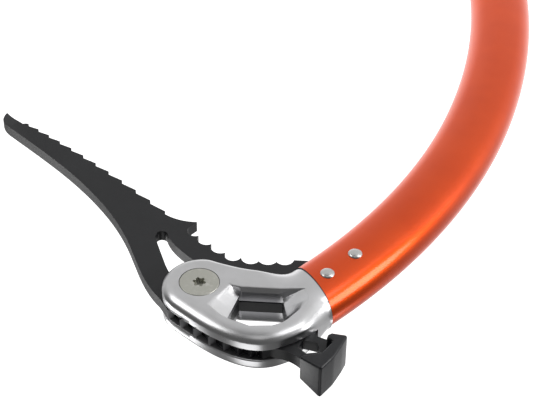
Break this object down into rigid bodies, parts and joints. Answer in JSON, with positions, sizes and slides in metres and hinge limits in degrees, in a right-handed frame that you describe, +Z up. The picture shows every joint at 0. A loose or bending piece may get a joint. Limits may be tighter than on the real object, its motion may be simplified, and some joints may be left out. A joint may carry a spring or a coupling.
{
  "type": "ice axe",
  "caption": "Curved-shaft ice axe for steep ice, with a forged head, a toothed pick bolted in a slot, a slotted hammer and an angled handle that tilts.",
  "frame": {"origin": "middle of the hand grip, on the handle's axis and in the blade's mid-plane", "axes": "+Z up from the spike towards the head, +X the way the pick points, +Y across the blade, away from the side with the bolt's head"},
  "size_m": [0.2624, 0.029, 0.5334],
  "materials": {
    "forged_alloy": "satin face with polished rounded edges",
    "black_steel": "black coating on blasted steel",
    "hammer_steel": "dark grey coating, face worn lighter",
    "plain_steel": "plain, lightly polished",
    "zinc_steel": "zinc plated, dull",
    "black_rubber": "matt",
    "orange_anodised": "satin orange anodising",
    "machined_alloy": "machined",
    "black_plastic": "fine moulded texture",
    "grey_alloy": "dark grey anodised",
    "grip_rubber": "soft, textured",
    "spike_steel": "ground edges"
  },
  "bodies": {
    "handle": {"handle_core": "grey_alloy", "handle_rubber": "grip_rubber", "pivot_bolt": "zinc_steel", "pivot_nut": "zinc_steel", "pommel": "black_plastic", "pommel_screw": "zinc_steel", "pommel_nut": "zinc_steel", "spike": "spike_steel", "spike_rivets": "plain_steel"},
    "shaft": {"head": "forged_alloy", "pick": "black_steel", "hammer": "hammer_steel", "hammer_pin": "plain_steel", "pick_bolt": "zinc_steel", "pick_nut": "zinc_steel", "head_gasket": "black_rubber", "shaft_tube": "orange_anodised", "head_rivets": "plain_steel", "lug_rivets": "plain_steel", "tube_collar": "black_rubber", "shaft_lug": "machined_alloy", "pivot_washers": "black_plastic", "lock_bolt": "zinc_steel", "lock_nut": "zinc_steel"},
    "trigger": {"trigger": "black_plastic", "trigger_nut": "plain_steel", "trigger_screw": "zinc_steel"},
    "finger_rest": {"finger_rest": "black_plastic", "finger_rest_nut": "plain_steel", "finger_rest_screw": "zinc_steel"}
  },
  "joints": [
    {"name": "handle_tilt", "type": "hinge", "parent": "handle", "child": "shaft", "pos_m": [-0.03439, 0, 0.08152], "axis": [0, 1, 0], "range_deg": [0, 12]},
    {"name": "trigger_slide", "type": "slide", "parent": "handle", "child": "trigger", "axis": [-0.3887, 0, 0.9214], "range_m": [0, 0.006]},
    {"name": "finger_rest_slide", "type": "slide", "parent": "handle", "child": "finger_rest", "axis": [-0.3887, 0, 0.9214], "range_m": [0, 0.006]}
  ]
}
